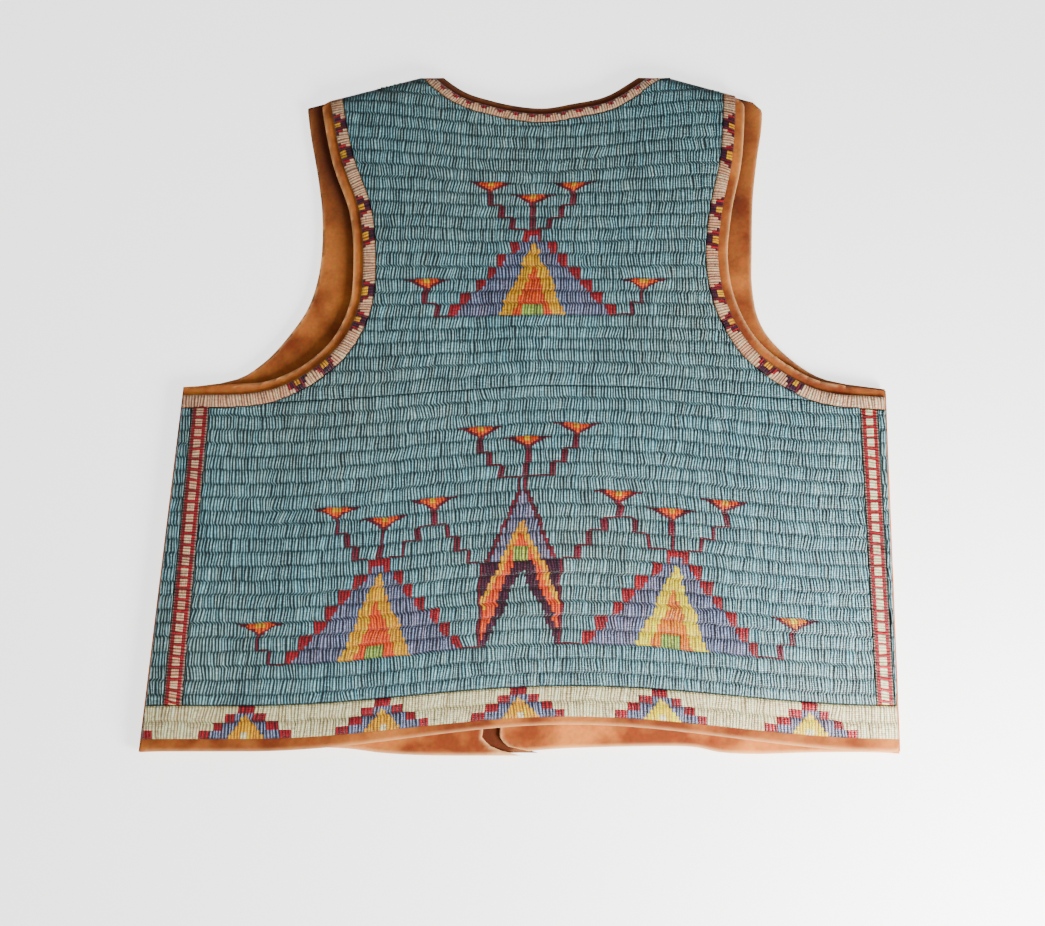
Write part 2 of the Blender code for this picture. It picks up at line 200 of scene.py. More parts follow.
TURQUOISE, CREAM, PEACH, SHADED_CREAM, RED, WINE, PLUM, PERIWINKLE, YELLOW, LIT_YELLOW, ORANGE, LIT_ORANGE, GREEN = range(13)
# SHADED_CREAM is painted shade: the cream of the bands' edge beads, greyed
BEAD_HEX = (
    "#a6d4d9", "#ffeeb8", "#ffc69e", "#bca898", "#b80a26", "#7c1230",
    "#4e1236", "#a6aac8", "#ffb400", "#ffdc00", "#ff5c00", "#ff8a00", "#b0c45c",
)
# How far the painted shade in the gap between two rows darkens beads of each colour
GAP_SHADE = np.array((1.0, 0.5, 0.55, 0.7, 0.62, 0.6, 0.55, 0.95, 0.5, 0.42, 0.5, 0.5, 0.6))


def linear(hex_colour):
    """An sRGB hex colour as linear light."""
    parts = [int(hex_colour[at:at + 2], 16) / 255 for at in (1, 3, 5)]
    return [part / 12.92 if part <= 0.04045 else ((part + 0.055) / 1.055) ** 2.4 for part in parts]


BEAD_COLOURS = np.array([linear(colour) for colour in BEAD_HEX])


def smoothstep(low, high, value):
    share = np.clip((value - low) / (high - low), 0, 1)
    return share * share * (3 - 2 * share)


def arch(x, middle, reach):
    """1 at the middle, easing to 0 at the reach on each side."""
    share = np.minimum(np.abs(x - middle) / reach, 1)
    return np.cos(share * math.pi / 2) ** 2


def back_hem(x):
    return HEM_CORNER + HEM_RISE * arch(x, *HEM_ARCH)


def groove(lane, x):
    """Height of the groove below a whole lane. The border's two lanes are -2 and -1."""
    foot = BORDER_FOOT + BORDER_FOOT_RISE * arch(x, *HEM_ARCH)
    head = BORDER_HEAD + BORDER_HEAD_RISE * arch(x, *HEM_ARCH)
    border = foot + (lane / 2 + 1) * (head - foot)
    level = FIRST_LANE + LANE_PITCH * lane + LANE_PITCH_GROWTH * lane**2
    level = level + WIDER_BY * np.maximum(0, lane - WIDER_LANES_FROM)
    rise = LANE_ARCH * (1 - smoothstep(*ARCHED_LANES, lane)) * arch(x, *HEM_ARCH)
    sag = NECK_SAG * smoothstep(*SAGGING_LANES, lane) * arch(x, *NECK_SAG_ARCH)
    return np.where(lane <= 0, border, level + rise - sag)


def back_lanes(x, lane):
    whole = np.floor(lane)
    low, high = groove(whole, x), groove(whole + 1, x)
    return x, low + (lane - whole) * (high - low)


def front_lanes(x, lane):
    """The fronts' lanes are straight, with two lanes of border below the line 0."""
    border_pitch = (FRONT_BORDER_HEAD - FRONT_BORDER_FOOT) / 2
    pitch = np.where(lane < 0, border_pitch, LANE_PITCH)
    return x, FRONT_BORDER_HEAD + GAP * (lane >= 0) + lane * pitch


def smooth_curve(points, steps=12):
    """Points on the smooth curve through these, by the Catmull-Rom rule."""
    spots = np.array(points, float)
    spots = np.vstack([2 * spots[0] - spots[1], spots, 2 * spots[-1] - spots[-2]])
    t = np.linspace(0, 1, steps, endpoint=False)[:, None]
    curve = []
    for a, b, c, d in zip(spots, spots[1:], spots[2:], spots[3:]):
        bend = (2 * a - 5 * b + 4 * c - d) * t**2 + (3 * b - a - 3 * c + d) * t**3
        curve.append(0.5 * (2 * b + (c - a) * t + bend))
    return np.vstack([*curve, spots[-2]])


def leftward(curve):
    """The direction to the left of a curve at each of its points."""
    along = np.gradient(curve, axis=0)
    along /= np.linalg.norm(along, axis=1)[:, None]
    return np.column_stack([-along[:, 1], along[:, 0]])


def beside(curve, distance):
    return curve + distance * leftward(curve)


def across_at(curve):
    """A function from the height to the place across on a curve that runs up or down."""
    spots = np.array(curve, float)
    if spots[0, 1] > spots[-1, 1]:
        spots = spots[::-1]
    heights = np.maximum.accumulate(spots[:, 1] + 1e-6 * np.arange(len(spots)))
    return lambda y: np.interp(y, heights, spots[:, 0])


def height_at(curve):
    """A function from the place across to the height on a curve that runs from side to side."""
    spots = np.array(curve, float)
    if spots[0, 0] > spots[-1, 0]:
        spots = spots[::-1]
    return lambda x: np.interp(x, spots[:, 0], spots[:, 1])


def on_line(line):
    """A function from the height to the place across on a straight line, past its ends too."""
    (x0, y0), (x1, y1) = line
    return lambda y: x0 + (x1 - x0) * (y - y0) / (y1 - y0)


left_side, right_side = on_line(LEFT_SIDE), on_line(RIGHT_SIDE)
left_band, right_band = on_line(LEFT_BAND), on_line(RIGHT_BAND)


def above_line(line):
    """A function from the place across to the height on a straight line, past its ends too."""
    (x0, y0), (x1, y1) = line
    return lambda x: y0 + (y1 - y0) * (x - x0) / (x1 - x0)


def distance_to(line, x, y):
    (x0, y0), (x1, y1) = line
    length = math.hypot(x1 - x0, y1 - y0)
    return np.abs((x - x0) * (y1 - y0) - (y - y0) * (x1 - x0)) / length


def drape(x, y):
    """Underside of the back hide above the surface that the vest lies on."""
    lift = np.full(np.shape(x), REST_LIFT)
    for (x0, y0), (x1, y1), half_width, rise in FOLDS:
        dx, dy = x1 - x0, y1 - y0
        share = np.clip(((x - x0) * dx + (y - y0) * dy) / (dx * dx + dy * dy), 0, 1)
        away = np.hypot(x - x0 - share * dx, y - y0 - share * dy)
        lift = lift + rise * np.exp(-((away / half_width) ** 2))
    lift = np.clip(lift, 0, MOST_LIFT)
    for seam in SEAMS:
        lift = lift * smoothstep(0, SEAM_ROLL, distance_to(seam, x, y))
    return BACK_HIDE_FLOOR + lift


def shoulders(inset):
    """The highest that the back reaches at each place across, less an inset."""
    left, right = above_line(LEFT_SHOULDER), above_line(RIGHT_SHOULDER)
    return lambda x: np.minimum(np.minimum(left(x), right(x)), NECK_CORNERS) - inset


def wander(rng, rows, count, reach):
    """Smooth random numbers near 1 in size, in rows that run along the beadwork."""
    noise = rng.normal(size=(rows, count + 2 * reach))
    window = np.hanning(2 * reach + 1)
    window /= np.sqrt((window**2).sum())
    return np.array([np.convolve(line, window, "valid") for line in noise])[:, :count]


def slab(name, columns, rows, cuts):
    """A closed slab 2 units square and 1 thick, with its upper side alone cut finely."""
    bpy.ops.object.select_all(action="DESELECT")
    bpy.ops.mesh.primitive_grid_add(x_subdivisions=columns, y_subdivisions=rows, size=2)
    made = bpy.context.object
    made.name = made.data.name = name
    bpy.context.tool_settings.mesh_select_mode = (False, False, True)
    bpy.ops.object.mode_set(mode="EDIT")
    bpy.ops.mesh.select_all(action="SELECT")
    bpy.ops.mesh.extrude_region_move(TRANSFORM_OT_translate={"value": (0, 0, 1)})
    bpy.ops.mesh.select_all(action="SELECT")
    bpy.ops.mesh.normals_make_consistent(inside=False)
    bpy.ops.mesh.select_all(action="DESELECT")
    bpy.ops.object.mode_set(mode="OBJECT")
    if cuts:
        faces = made.data.polygons
        normals = np.empty(len(faces) * 3)
        faces.foreach_get("normal", normals)
        faces.foreach_set("select", normals.reshape(-1, 3)[:, 2] > 0.5)
        bpy.ops.object.mode_set(mode="EDIT")
        bpy.ops.mesh.subdivide(number_cuts=cuts)
        bpy.ops.object.mode_set(mode="OBJECT")
    return made


def read_points(mesh):
    points = np.empty(len(mesh.vertices) * 3)
    mesh.vertices.foreach_get("co", points)
    return points.reshape(-1, 3)


def read_corners(mesh):
    """The vertex of each face corner, and the face that it belongs to."""
    vertex = np.empty(len(mesh.loops), int)
    mesh.loops.foreach_get("vertex_index", vertex)
    corners = np.empty(len(mesh.polygons), int)
    mesh.polygons.foreach_get("loop_total", corners)
    return vertex, np.repeat(np.arange(len(corners)), corners), corners


def close_up(made, flip):
    """Merges what was pushed together at the edges, and turns the faces outwards."""
    bpy.ops.object.select_all(action="DESELECT")
    made.select_set(True)
    bpy.context.view_layer.objects.active = made
    bpy.ops.object.mode_set(mode="EDIT")
    bpy.ops.mesh.select_all(action="SELECT")
    bpy.ops.mesh.remove_doubles(threshold=0.00002)
    if flip:
        bpy.ops.mesh.flip_normals()
    bpy.ops.mesh.select_all(action="DESELECT")
    bpy.ops.object.mode_set(mode="OBJECT")
    bpy.ops.object.shade_smooth()


class Ground:
    """Where a piece may lie: its lanes, its ends along them, its head, and the height of its underside."""

    def __init__(self, place, ends, inside, floor, head=None, rise=1):
        self.place = place
        self.ends = ends
        self.inside = inside
        self.floor = floor
        self.head = head
        self.rise = rise


# How finely a piece's edges are looked for: a step along the lanes, and points across and along them
EDGE_STEP = 0.1
POINTS_ACROSS = 4000
POINTS_ALONG = 3000


def kept_ends(ground, across):
    """How far a piece reaches along its lanes, at each place across them."""
    along = np.arange(ground.ends[0], ground.ends[1] + EDGE_STEP, EDGE_STEP)
    kept = ground.inside(*ground.place(along[None, :], across[:, None]))
    low = kept.argmax(axis=1)
    high = len(along) - 1 - kept[:, ::-1].argmax(axis=1)
    some = kept.any(axis=1)
    low = np.interp(across, across[some], along[low[some]])
    high = np.interp(across, across[some], along[high[some]])
    return low, high


def kept_head(ground, along, first, last):
    """How far a piece reaches across its lanes, at each place along them."""
    if ground.head is None:
        return np.full(len(along), float(last))
    across, step = np.linspace(first, last, POINTS_ACROSS, retstep=True)
    x, y = ground.place(along[:, None], across[None, :])
    return np.minimum(first + step * (y <= ground.head(x)).sum(axis=1), last)


def settle(ground, along, across, sway, stir):
    """Places points a little off their grid, pushed in to the piece's edges where they lie past them."""
    lanes = np.unique(across)
    low, high = kept_ends(ground, lanes)
    free = along + sway
    held = np.clip(free, np.interp(across, lanes, low), np.interp(across, lanes, high))
    columns = np.linspace(along.min(), along.max(), POINTS_ALONG)
    heads = kept_head(ground, columns, lanes[0], lanes[-1])
    under = (columns >= np.interp(heads, lanes, low)) & (columns <= np.interp(heads, lanes, high))
    plain = np.clip(along, columns[under][0], columns[under][-1])
    head = np.interp(plain, columns, heads)
    over = across > head
    edge = over | (held != free)
    x, y = ground.place(np.where(over, plain, held), np.minimum(across + np.where(edge, 0, stir), head))
    return x, y, edge


def bead_lots(x, y):
    """Beads of one colour come from several lots. Waves 23 to 90 mm long move between the lots, -1 to 1."""
    broad = np.sin(x / 61 + y / 47 + 0.6) + np.sin(x / 38 - y / 71 + 2.1)
    return 0.36 * (broad + 0.8 * np.sin(y / 23 - x / 90 + 4.0))


def light_on_beads(crest, share, deep):
    """Light on the crests and in the gaps of rows, less at a row's ends and in the grooves between lanes."""
    light = np.where(crest, 1.0, VALLEY_LIGHT * (1 - deep) ** 1.2)
    light = light * (1 - ROW_END_SHADE * (2 * share - 1) ** 2)
    return np.where((share == 0) | (share == 1), (GROOVE_LIGHT + GROOVE_UNEVEN * deep) * light, light)


def beadwork(name, first, last, ground, pattern, seed, beads=BEADS, row=ROW):
    """Lanes of beads, each row of them a ridge across its lane."""
    rng = np.random.default_rng(seed)
    lanes = last - first
    start, end = ground.ends
    blocks = math.ceil((end - start) / (beads / 2 * row))
    made = slab(name, blocks, lanes, beads - 1)
    mesh = made.data
    flat = read_points(mesh)
    column = np.rint((flat[:, 0] + 1) / 2 * blocks * beads).astype(int)
    level = np.rint((flat[:, 1] + 1) / 2 * lanes * beads).astype(int)
    upper = flat[:, 2] > 0.5
    lane = np.minimum(level // beads, lanes - 1)
    share = level / beads - lane

    # Each row's place, lean and bow wander smoothly, over the number of half rows that ends each call
    count = blocks * beads + 1
    shift = rng.uniform(-0.5, 0.5, (lanes, 1)) * row + STRAY * wander(rng, lanes, count, 3)
    lean = LEAN + SLOW_LEAN * wander(rng, lanes, count, 14) + QUICK_LEAN * wander(rng, lanes, count, 3)
    bow = BOW * wander(rng, lanes, count, 2)
    deep = rng.uniform(0, 1, (lanes, count))
    below = np.maximum(lane - 1, 0)
    hump = 1 - np.abs(2 * share - 1) ** 4
    here = shift[lane, column] + lean[lane, column] * (share - 0.5) + bow[lane, column] * hump
    before = shift[below, column] + lean[below, column] * 0.5
    sway = np.where((share == 0) & (lane > 0), (here + before) / 2, here)
    sway = np.where(upper, sway, 0) * row / ROW

    waver = WAVER * wander(rng, lanes + 1, count, 9)
    waver[0] = waver[-1] = 0
    across = first + level / beads
    stir = (1 - share) * waver[lane, column] + share * waver[lane + 1, column]
    x, y, edge = settle(ground, start + column * (row / 2), across, sway, np.where(upper, stir, 0))
    crest = column % 2 == 1
    tall = BACK_BEADS - LANE_GROOVE - ROW_UNEVEN * deep[lane, np.minimum(column + 1, count - 1)]
    low = tall * (1 - ROW_GROOVE * (0.5 + 0.5 * deep[lane, column]))
    relief = LANE_GROOVE + hump * np.where(crest, tall, low)
    relief = np.where(edge, EDGE_HEIGHT, relief) * upper
    if ground.rise < 0:
        relief = relief * FRONT_BEADS / BACK_BEADS
    z = ground.floor(x, y) + ground.rise * relief
    mesh.vertices.foreach_set("co", (np.column_stack([x, y, z]) * MM).ravel())

    # Painted shade in the beads' colour: in the gaps between rows, at row ends, in the grooves, on walls
    # and, on the back, where the beads roll over the shoulders
    light = light_on_beads(crest, share, deep[lane, column])
    light = np.where(upper, light, WALL_LIGHT)
    if ground.rise > 0:
        roll = np.minimum(distance_to(LEFT_SHOULDER, x, y), distance_to(RIGHT_SHOULDER, x, y))
        light = light * (SHOULDER_LIGHT + (1 - SHOULDER_LIGHT) * smoothstep(0, SHOULDER_ROLL, roll))

    # A face takes the colour of its bead, found by its row and by its number across all the lanes
    vertex, face, corners = read_corners(mesh)
    rows = blocks * beads // 2
    middle = np.bincount(face, column[vertex]) / corners
    strand = np.clip((middle // 2).astype(int), 0, rows - 1)
    middle = np.bincount(face, level[vertex]) / corners
    cell = np.clip(middle.astype(int), 0, lanes * beads - 1)
    along = start + (strand + 0.5) * row
    spot_x, spot_y = ground.place(along, first + (cell + 0.5) / beads)
    kind = pattern(first + cell // beads, cell % beads, along, spot_x, spot_y)
    by_row = rng.normal(1, ROW_SPREAD, (lanes, rows))[cell // beads, strand]
    by_bead = rng.normal(1, BEAD_SPREAD, (lanes * beads, rows))[cell, strand]
    tint = rng.normal(0, TINT_SPREAD, (lanes, rows))[cell // beads, strand]
    tint = (tint + LOT_TINT * bead_lots(spot_x, spot_y)) * np.where(kind == CREAM, CREAM_TINT, 1)
    colour = BEAD_COLOURS[kind] * ((by_row * by_bead)[:, None] * (1 + tint[:, None] * TINT))
    # The painted shade rides in the colour's alpha, and the material darkens the gaps by it
    gap_shade = 1 - GAP_SHADE[kind][face] * (1 - light[vertex])
    attribute = mesh.color_attributes.new("bead colour", "FLOAT_COLOR", "CORNER")
    attribute.data.foreach_set("color", np.column_stack([np.clip(colour, 0, 1)[face], gap_shade]).ravel())
    spots = np.column_stack([column[vertex] / 2, level[vertex]]).astype(float)
    mesh.uv_layers[0].name = "beads"
    mesh.uv_layers[0].data.foreach_set("uv", spots.ravel())
    close_up(made, ground.rise < 0)
    return made


# Tents: the place across, the highest block's lane, the slant per lane, and half the top's width in rows
TIPIS = ((6.3, 34, -0.25, 2.8), (-100.8, 9, 0.05, 3.4), (102.9, 9, -0.7, 3.4))
TIPI_STEPS = 6
# Branches run down a lane at a time: the highest lane, the places across, and where they join
BRANCHES = (
    (37, (-25, -17.2, -8.2), 1), (36, (5.7, 5.7), 5.7), (37, (35.8, 27.1, 18.8), 11),
    (29, (-71.5, -63.7), -52), (29, (84.5, 76.1), 62),
    (12, (-129.7, -122.9, -115.5), -107), (11, (-97.8, -99.5), -99.5), (12, (-62.7, -73.6, -83.4), -93),
    (12, (-62.7, -54.2, -46.7, -39.3), -32), (4, (-179.8, -171.7), -157),
    (12, (64.6, 74.7, 84.6), 96), (12, (64.6, 53.8, 44.2, 34.6), 25.5), (11, (100.8, 101.4), 101.4),
    (12, (137.7, 129, 120.3), 110), (4, (180.7, 171.3), 157),
    (17, (-32.5, -25.7, -17.2), 0), (16, (1.6, 0), 0), (17, (35.6, 26.6, 18), 0),
)
# Flowers: the lane and the place across
BLOOMS = (
    (38, -25), (37, 5.7), (38, 35.8), (30, -71.5), (30, 84.5),
    (13, -129.7), (12, -97.8), (13, -62.7), (5, -179.8),
    (13, 64.6), (12, 100.8), (13, 137.7), (5, 180.7),
    (18, -32.5), (17, 1.6), (18, 35.6),
)
# Half widths of a flower and of its heart at each bead of the lane, in rows
BLOOM = (0.9, 1.2, 1.9, 2.8, 3.8, 4.9, 6.1, 7.7)
BLOOM_HEART = (0, 0, 0.4, 1.1, 2.0, 3.1, 4.1, 3.9)
ARROW = -3.4
# Short level lines: the lane and both ends
GROUND_LINES = ((3, -44, -32), (3, 25, 38))
# Right of this place and below this lane, yellow and orange beads are painted in lighter copies: painted
# light, where the light falls brighter
LIT_COPIES_FROM = 40
LIT_COPIES_BELOW = 12


def draw_bloom(kind, lane, bead, x, head, place):
    """An opening flower: a triangle on its point, one lane high."""
    rows = np.abs(x - place) / ROW
    here = lane == head
    kind[here & (rows < np.take(BLOOM, bead))] = WINE
    kind[here & (rows < np.take(BLOOM_HEART, bead))] = ORANGE
    kind[here & (bead >= BEADS - 3) & (rows < 1.1)] = YELLOW


def draw_branch(kind, lane, bead, x, head, places, joins):
    """A branch that steps down a lane at a time, with a level line of one bead at each step."""
    stops = (*places[1:], joins)
    for step, (place, stop) in enumerate(zip(places, stops)):
        here = lane == head - step
        kind[here & (np.abs(x - place) < 0.85 * ROW)] = WINE
        between = (x > min(place, stop)) & (x < max(place, stop))
        kind[here & (bead == 0) & between] = WINE


def draw_tipi(kind, lane, bead, x, middle, head, slant, cap):
    """A stepped tent, four rows wider on each side in each lane down. All widths are in rows of beads."""
    steps = head - lane
    rows = np.abs(x - middle - slant * steps) / ROW
    deep = steps * BEADS + BEADS - 1 - bead
    body = (steps >= 1) & (steps <= TIPI_STEPS)
    foot = 4 * steps + 0.6 + 0.45 * np.maximum(0, 4 - bead)
    kind[body & (rows < foot)] = PERIWINKLE
    kind[body & (rows >= foot) & (rows < 4 * steps + 4.1)] = RED
    kind[(steps == 0) & (rows < cap)] = RED
    kind[(steps == 0) & (rows < cap / 2) & (bead < 4)] = PERIWINKLE
    kind[body & (rows < 0.3 + 0.235 * (deep - BEADS))] = YELLOW
    kind[body & (rows < 0.2 * (deep - 22))] = ORANGE
    kind[(steps == TIPI_STEPS) & (rows < 3.6)] = ORANGE
    kind[(steps == TIPI_STEPS) & (rows < 3.1) & (bead < BEADS - 1)] = GREEN


def draw_arrow(kind, lane, bead, x):
    """The tall figure in the middle, with two legs below a narrow peak. All widths are in rows of beads."""
    peak, knee, foot = 14, 8, 3
    rows = np.abs(x - ARROW - 0.54 * np.maximum(0, lane - knee - 1)) / ROW
    deep = (peak - 3 - lane) * BEADS + BEADS - 1 - bead
    upper = (lane <= peak) & (lane > knee)
    legs = (lane <= knee) & (lane >= foot)
    slope = peak - 1 - lane + (BEADS - 1 - bead) / BEADS - 0.5
    width = np.where(legs, 12.8, np.maximum(0.5, 1.4 + 1.97 * slope))
    inside = (upper | legs) & (rows < width)
    kind[upper & inside] = PERIWINKLE
    kind[(lane == peak) & inside] = TURQUOISE
    kind[legs & inside] = PLUM
    kind[inside & (rows < 0.3 + 0.275 * deep)] = YELLOW
    kind[inside & (rows < 0.275 * deep - 1.7)] = ORANGE
    kind[(lane == knee + 1) & (rows < 2.3)] = GREEN
    inner = np.abs(x - ARROW - 0.5 * ROW) / ROW
    kind[(lane <= knee) & inside & (inner < 3.0 + 0.225 * (deep - 25))] = PLUM
    kind[(lane <= knee) & inside & (inner < 0.262 * (deep - 28))] = TURQUOISE
    edge = (upper | legs) & (rows >= width)
    kind[edge & (rows < width + np.where(legs | (lane == peak), 1.0, 1.5))] = WINE


def field_pattern(lane, bead, _along, x, _y):
    kind = np.full(len(lane), TURQUOISE)
    for motif in TIPIS:
        draw_tipi(kind, lane, bead, x, *motif)
    for branch in BRANCHES:
        draw_branch(kind, lane, bead, x, *branch)
    draw_arrow(kind, lane, bead, x)
    for bloom in BLOOMS:
        draw_bloom(kind, lane, bead, x, *bloom)
    # Painted light: lighter copies of yellow and orange low on the right
    lit_copies = (x > LIT_COPIES_FROM) & (lane < LIT_COPIES_BELOW)
    kind[lit_copies & (kind == YELLOW)] = LIT_YELLOW
    kind[lit_copies & (kind == ORANGE)] = LIT_ORANGE
    for height, left, right in GROUND_LINES:
        kind[(lane == height) & (bead == 0) & (x > left) & (x < right)] = WINE
    return kind


def plain_field(lane, _bead, _along, _x, _y):
    return np.full(len(lane), TURQUOISE)


# The hem's border: its lanes, and the places across of its triangles on the back and the fronts
BORDER_LANES = 2
BORDER_MOTIFS = (-278.0, -186.1, -95.3, -4.3, 90.2, 188.1)
FRONT_BORDER_MOTIFS = (-195, -95, 90, 190)


def border_pattern(motifs):
    """Cream lanes with stepped triangles, each four steps of four beads."""
    def pattern(lane, bead, _along, x, _y):
        kind = np.full(len(lane), CREAM)
        height = (lane + BORDER_LANES) * BEADS + bead
        step = 3 - height // 4
        for middle in motifs:
            rows = np.abs(x - middle) / ROW
            kind[rows < 4 * step + 2.5] = RED
            kind[(rows < 4 * step - 1.0) & (step > 0)] = PERIWINKLE
            kind[rows < 5.8 * (1 - height / 11)] = YELLOW
            kind[(rows < 1.1) & (height < 3)] = CREAM
        # Painted light: a lighter copy of yellow on the right of the border
        kind[(x > LIT_COPIES_FROM) & (kind == YELLOW)] = LIT_YELLOW
        return kind

    return pattern


def band_pattern(square):
    """A row of light squares on red, between two lines of cream beads painted grey with shade."""
    def pattern(_lane, bead, along, _x, _y):
        kind = np.full(len(bead), RED)
        # Painted shade: the band's edge beads are cream greyed by shade
        kind[(bead == 0) | (bead == BAND_BEADS - 1)] = SHADED_CREAM
        kind[((along / BAND_ROW).astype(int) % 4 != 0) & (bead >= 3) & (bead <= 6)] = square
        return kind

    return pattern


# An armhole edging's groups come in pairs, and each has steps as half width, lowest bead and outline
EDGING_REPEAT = 69.0
EDGING_PAIR = 24.3
EDGING_STEPS = ((9.5, 6, WINE), (7.4, 3, RED), (4.6, 0, WINE))
NECK_REPEAT = 12.6


def edging_pattern(first, plain_from):
    """Light rows with stepped groups in pairs, each round a patch of yellow at the hide's edge."""
    def pattern(_lane, bead, along, _x, _y):
        place = (along - first + EDGING_REPEAT / 2) % EDGING_REPEAT - EDGING_REPEAT / 2
        second = (along - first - EDGING_PAIR + EDGING_REPEAT / 2) % EDGING_REPEAT - EDGING_REPEAT / 2
        away = np.minimum(np.abs(place), np.abs(second))
        kind = np.full(len(bead), PEACH)
        for reach, lowest, outline in EDGING_STEPS:
            kind[(away < reach) & (bead >= lowest)] = outline
            kind[(away < reach - 2.0) & (bead >= lowest)] = PLUM
        kind[(away < 2.6) & (bead >= 4)] = YELLOW
        kind[along > plain_from] = PEACH
        return kind

    return pattern


def neck_pattern(_lane, bead, along, _x, _y):
    """Light rows with small dark steps along the hide's edge."""
    place = np.abs(along % NECK_REPEAT - NECK_REPEAT / 2)
    kind = np.full(len(bead), PEACH)
    kind[(place < 4.3) & (bead >= 6)] = WINE
    kind[(place < 2.2) & (bead >= 4)] = RED
    return kind


def add(tree, kind, settings=None, links=None):
    """A node with its settings, and its inputs linked or set."""
    node = tree.nodes.new(kind)
    for name, value in (settings or {}).items():
        setattr(node, name, value)
    for name, value in (links or {}).items():
        if isinstance(value, bpy.types.NodeSocket):
            tree.links.new(value, node.inputs[name])
        else:
            node.inputs[name].default_value = value
    return node


def new_material(name):
    made = bpy.data.materials.new(name)
    made.use_nodes = True
    tree = made.node_tree
    return made, tree, tree.nodes["Principled BSDF"]


def finish_material(tree, shader, colour, height, strength, depth, surface):
    """Links a material's colour and its relief, and sets the rest of its surface."""
    bump = {"Height": height, "Strength": strength, "Distance": depth * MM}
    relief = add(tree, "ShaderNodeBump", links=bump)
    tree.links.new(colour, shader.inputs["Base Color"])
    tree.links.new(relief.outputs["Normal"], shader.inputs["Normal"])
    for name, value in surface.items():
        shader.inputs[name].default_value = value


def glass_seed_beads():
    """Seed beads: opaque glass drawn, cut and tumbled round. Each row gives a bright streak, and the gaps
    beside it are painted dark with shade, with more of a bead's own colour where light passes between rows."""
    made, tree, shader = new_material("Tumbled opaque glass seed beads")
    bead = add(tree, "ShaderNodeVertexColor", {"layer_name": "bead colour"})
    gap_shade = add(tree, "ShaderNodeMapRange", links={0: bead.outputs["Alpha"], 1: 0.0, 2: 1.0, 3: 2.3, 4: 0.9})
    rich = add(tree, "ShaderNodeGamma", links={"Color": bead.outputs["Color"], "Gamma": gap_shade.outputs[0]})
    dim = add(tree, "ShaderNodeMath", {"operation": "POWER"}, {0: bead.outputs["Alpha"], 1: 3.0})
    lit = add(tree, "ShaderNodeMapRange", links={0: dim.outputs[0], 1: 0.0, 2: 1.0, 3: 0.02, 4: 1.0})
    scaled = {0: rich.outputs[0], "Scale": lit.outputs[0]}
    shown = add(tree, "ShaderNodeVectorMath", {"operation": "SCALE"}, scaled)
    spots = add(tree, "ShaderNodeUVMap", {"uv_map": "beads"})
    split = add(tree, "ShaderNodeSeparateXYZ", links={0: spots.outputs["UV"]})
    rounds = []
    for axis, power in (("X", 0.5), ("Y", 0.4)):
        fold = add(tree, "ShaderNodeMath", {"operation": "PINGPONG"}, {0: split.outputs[axis], 1: 0.5})
        rounds.append(add(tree, "ShaderNodeMath", {"operation": "POWER"}, {0: fold.outputs[0], 1: power}))
    hump = {0: rounds[0].outputs[0], 1: rounds[1].outputs[0]}
    both = add(tree, "ShaderNodeMath", {"operation": "MULTIPLY"}, hump)
    surface = {"Roughness": 0.36, "IOR": 1.51, "Specular IOR Level": 0.42}
    finish_material(tree, shader, shown.outputs[0], both.outputs[0], 0.7, 0.9, surface)
    return made


# Hide: the width of its darker patches and of its nap, drawn as coarse as it needs to show
PATCH = 32
NAP = 2.5
RGBA = {"data_type": "RGBA"}


def brushed_hide():
    """Hide tanned with brains and smoke and brushed to a nap: matt and mottled, darker at the back's neck,
    armholes and hem, with painted shade on the fronts beside the back's armholes and on the strip behind the
    opening, and pale and fibrous where it is cut."""
    made, tree, shader = new_material("Brushed smoke-tanned hide")
    place = add(tree, "ShaderNodeTexCoord").outputs["Object"]
    size = 1 / (PATCH * MM)
    broad = add(tree, "ShaderNodeTexNoise", links={"Vector": place, "Scale": size, "Detail": 3.0})
    spread = {0: broad.outputs["Fac"], 1: 0.36, 2: 0.64, 3: 0.0, 4: 1.0}
    patches = add(tree, "ShaderNodeMapRange", links=spread)
    nap = add(tree, "ShaderNodeTexNoise", links={"Vector": place, "Scale": 1 / (NAP * MM), "Detail": 4.0})
    dark = (*linear("#7c3512"), 1)
    light = (*linear("#cc7630"), 1)
    mottle = add(tree, "ShaderNodeMix", RGBA, {0: patches.outputs[0], 6: dark, 7: light})
    # Painted shade on the fronts and the strip behind the opening, and the back's darkening, from an
    # attribute
    darkening = add(tree, "ShaderNodeAttribute", {"attribute_name": "darkening"})
    darkened_brown = (*linear("#4a1c08"), 1)
    darkened = add(tree, "ShaderNodeMix", RGBA, {0: darkening.outputs["Fac"], 6: mottle.outputs[2], 7: darkened_brown})
    flecks = {0: 0.4, 6: darkened.outputs[2], 7: nap.outputs["Color"]}
    fleck = add(tree, "ShaderNodeMix", {**RGBA, "blend_type": "OVERLAY"}, flecks)
    cut = add(tree, "ShaderNodeAttribute", {"attribute_name": "cut edge"})
    narrow = add(tree, "ShaderNodeMath", {"operation": "POWER"}, {0: cut.outputs["Fac"], 1: 2.5})
    pale = (*linear("#f2b97c"), 1)
    edged = add(tree, "ShaderNodeMix", RGBA, {0: narrow.outputs[0], 6: fleck.outputs[2], 7: pale})
    surface = {"Roughness": 0.95, "Specular IOR Level": 0.2, "Sheen Weight": 0.08, "Sheen Roughness": 0.5}
    finish_material(tree, shader, edged.outputs[2], nap.outputs["Fac"], 0.5, 0.5, surface)
    return made


# The grid of a hide panel and of the strip behind the opening, and the length that its rows divide
HIDE_CELL = 3.0
UNDERLAP_CELL = 6.0
PANEL_LENGTH = 505
# Hide is pale at a cut: how far in, and how pale there, on its wall, near a seam and where it is darkened
PALE_REACH = 3.6
CUT_PALE = 0.94
WALL_PALE = 0.9
SEAM_PALE = 0.3
SEAM_REACH = 3
DARKENED_PALE = 0.65


